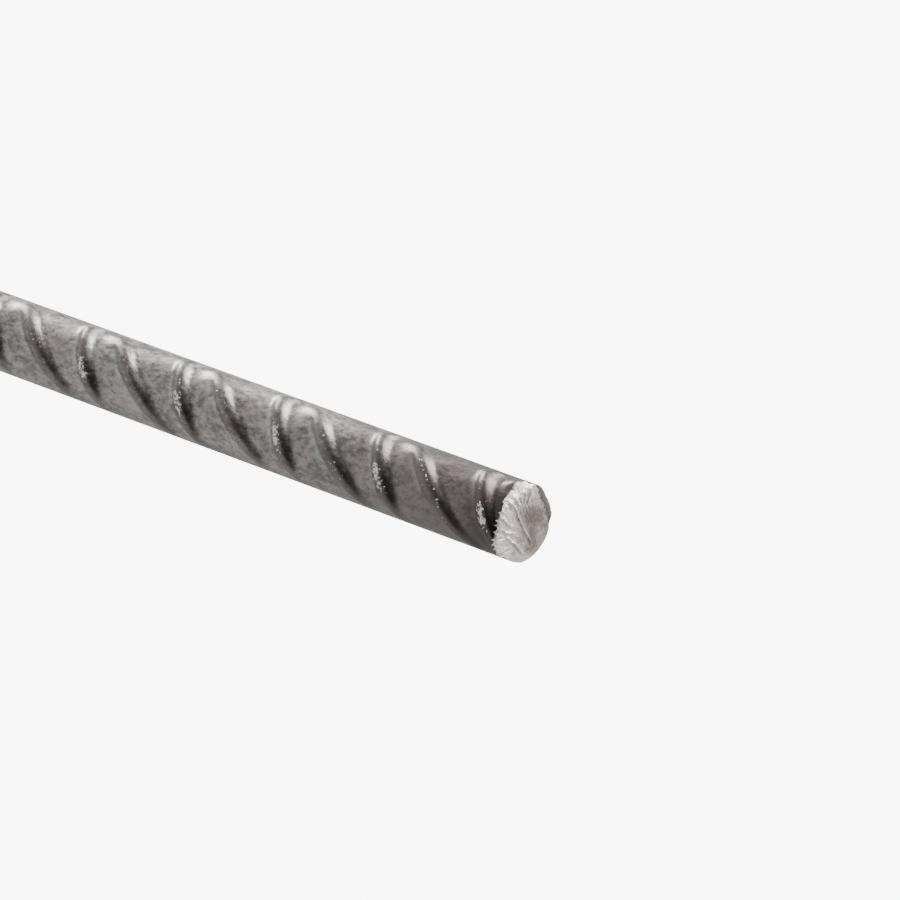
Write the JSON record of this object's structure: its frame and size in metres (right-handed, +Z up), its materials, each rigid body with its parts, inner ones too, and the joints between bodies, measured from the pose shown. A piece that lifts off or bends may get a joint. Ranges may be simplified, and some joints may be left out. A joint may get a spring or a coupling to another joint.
{
  "type": "ribbed steel reinforcing bar",
  "caption": "Short length of ribbed steel reinforcing bar, with crescent ribs in rows along both sides, a sheared end and a square end, for bonding into concrete.",
  "frame": {"origin": "bottom centre of the bar's bounding box, on the surface that it lies on, half way along", "axes": "+X along the bar towards the sheared end, +Y towards the plain row of ribs, +Z up with the smooth gaps between the rows at the top and bottom"},
  "size_m": [0.1, 0.0067, 0.0059],
  "materials": {
    "hot_rolled_steel": "dark grey mill scale with a dull sheen, rubbed bright on the rib crests, pale torn steel on the sheared end"
  },
  "bodies": {
    "root": {"rebar_rod": "hot_rolled_steel"}
  },
  "joints": []
}
